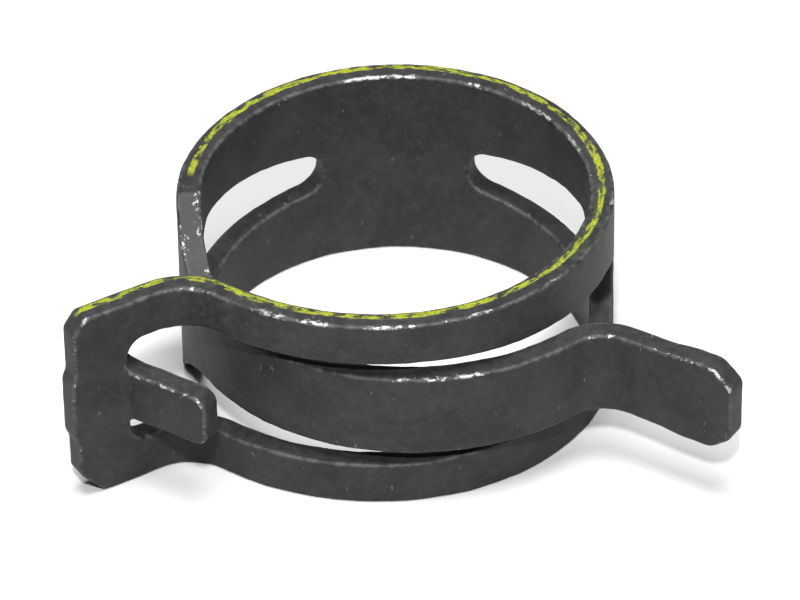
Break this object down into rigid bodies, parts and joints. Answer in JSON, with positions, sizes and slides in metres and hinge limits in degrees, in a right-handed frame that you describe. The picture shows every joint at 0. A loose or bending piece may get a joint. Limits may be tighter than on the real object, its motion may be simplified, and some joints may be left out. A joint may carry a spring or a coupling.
{
  "type": "hose clamp",
  "caption": "Self-tightening spring band hose clamp: a rolled flat steel strip whose tongue passes through its forked end, with two bent-out tangs to squeeze open.",
  "frame": {"origin": "on the axis of the ring, at the middle of the band's width", "axes": "+Z along the axis of the ring; +Y towards the web at the back, opposite the tangs; +X towards the fork side's flank"},
  "size_m": [0.046, 0.0313, 0.015],
  "materials": {
    "coated_spring_steel": "dull phosphate coat, worn bright on the edges"
  },
  "bodies": {
    "web": {"back_web": "coated_spring_steel"},
    "fork_1": {"fork_upper_rail_1": "coated_spring_steel", "fork_lower_rail_1": "coated_spring_steel"},
    "fork_2": {"fork_upper_rail_2": "coated_spring_steel", "fork_lower_rail_2": "coated_spring_steel"},
    "fork_3": {"fork_bridge": "coated_spring_steel"},
    "fork_4": {"fork_upper_rail_3": "coated_spring_steel", "fork_lower_rail_3": "coated_spring_steel"},
    "fork_5": {"fork_upper_rail_4": "coated_spring_steel", "fork_lower_rail_4": "coated_spring_steel"},
    "fork_end": {"fork_upper_arm": "coated_spring_steel", "fork_lower_arm": "coated_spring_steel", "fork_tang": "coated_spring_steel", "stop_tab": "coated_spring_steel"},
    "window_1": {"window_upper_rail_1": "coated_spring_steel", "window_lower_rail_1": "coated_spring_steel"},
    "window_2": {"window_upper_rail_2": "coated_spring_steel", "window_lower_rail_2": "coated_spring_steel"},
    "shoulder": {"shoulder": "coated_spring_steel"},
    "tongue_1": {"tongue_1": "coated_spring_steel"},
    "tongue_2": {"tongue_2": "coated_spring_steel"},
    "tongue_end": {"tongue_neck": "coated_spring_steel", "tongue_tang": "coated_spring_steel"}
  },
  "joints": [
    {"name": "fork_flex_1", "type": "hinge", "parent": "web", "child": "fork_1", "pos_m": [0.00855, 0.01134, 0], "axis": [0, 0, 1], "range_deg": [0, 5.5], "stiffness_Nm_per_rad": 0.04},
    {"name": "fork_flex_2", "type": "hinge", "parent": "fork_1", "child": "fork_2", "pos_m": [0.01191, 0.00773, 0], "axis": [0, 0, 1], "range_deg": [0, 5.5], "stiffness_Nm_per_rad": 0.04},
    {"name": "fork_flex_3", "type": "hinge", "parent": "fork_2", "child": "fork_3", "pos_m": [0.01365, 0.00391, 0], "axis": [0, 0, 1], "range_deg": [0, 5.5], "stiffness_Nm_per_rad": 0.04},
    {"name": "fork_flex_4", "type": "hinge", "parent": "fork_3", "child": "fork_4", "pos_m": [0.01358, -0.00415, 0], "axis": [0, 0, 1], "range_deg": [0, 5.5], "stiffness_Nm_per_rad": 0.04},
    {"name": "fork_flex_5", "type": "hinge", "parent": "fork_4", "child": "fork_5", "pos_m": [0.00948, -0.01066, 0], "axis": [0, 0, 1], "range_deg": [0, 5.5], "stiffness_Nm_per_rad": 0.04},
    {"name": "fork_flex_6", "type": "hinge", "parent": "fork_5", "child": "fork_end", "pos_m": [0.00181, -0.01449, 0], "axis": [0, 0, 1], "range_deg": [0, 5.5], "stiffness_Nm_per_rad": 0.04},
    {"name": "tongue_flex_1", "type": "hinge", "parent": "web", "child": "window_1", "pos_m": [-0.00855, 0.01134, 0], "axis": [0, 0, -1], "range_deg": [0, 5.5], "stiffness_Nm_per_rad": 0.04},
    {"name": "tongue_flex_2", "type": "hinge", "parent": "window_1", "child": "window_2", "pos_m": [-0.01191, 0.00773, 0], "axis": [0, 0, -1], "range_deg": [0, 5.5], "stiffness_Nm_per_rad": 0.04},
    {"name": "tongue_flex_3", "type": "hinge", "parent": "window_2", "child": "shoulder", "pos_m": [-0.01365, 0.00391, 0], "axis": [0, 0, -1], "range_deg": [0, 5.5], "stiffness_Nm_per_rad": 0.04},
    {"name": "tongue_flex_4", "type": "hinge", "parent": "shoulder", "child": "tongue_1", "pos_m": [-0.01358, -0.00415, 0], "axis": [0, 0, -1], "range_deg": [0, 5.5], "stiffness_Nm_per_rad": 0.04},
    {"name": "tongue_flex_5", "type": "hinge", "parent": "tongue_1", "child": "tongue_2", "pos_m": [-0.0094, -0.01077, 0], "axis": [0, 0, -1], "range_deg": [0, 5.5], "stiffness_Nm_per_rad": 0.04},
    {"name": "tongue_flex_6", "type": "hinge", "parent": "tongue_2", "child": "tongue_end", "pos_m": [-0.00155, -0.01469, 0], "axis": [0, 0, -1], "range_deg": [0, 5.5], "stiffness_Nm_per_rad": 0.04}
  ],
  "couplings": [
    {"joint": "fork_flex_2", "follows": "fork_flex_1", "ratio": 1},
    {"joint": "fork_flex_3", "follows": "fork_flex_1", "ratio": 1},
    {"joint": "fork_flex_4", "follows": "fork_flex_1", "ratio": 1},
    {"joint": "fork_flex_5", "follows": "fork_flex_1", "ratio": 1},
    {"joint": "fork_flex_6", "follows": "fork_flex_1", "ratio": 1},
    {"joint": "tongue_flex_1", "follows": "fork_flex_1", "ratio": 1},
    {"joint": "tongue_flex_2", "follows": "fork_flex_1", "ratio": 1},
    {"joint": "tongue_flex_3", "follows": "fork_flex_1", "ratio": 1},
    {"joint": "tongue_flex_4", "follows": "fork_flex_1", "ratio": 1},
    {"joint": "tongue_flex_5", "follows": "fork_flex_1", "ratio": 1},
    {"joint": "tongue_flex_6", "follows": "fork_flex_1", "ratio": 1}
  ]
}
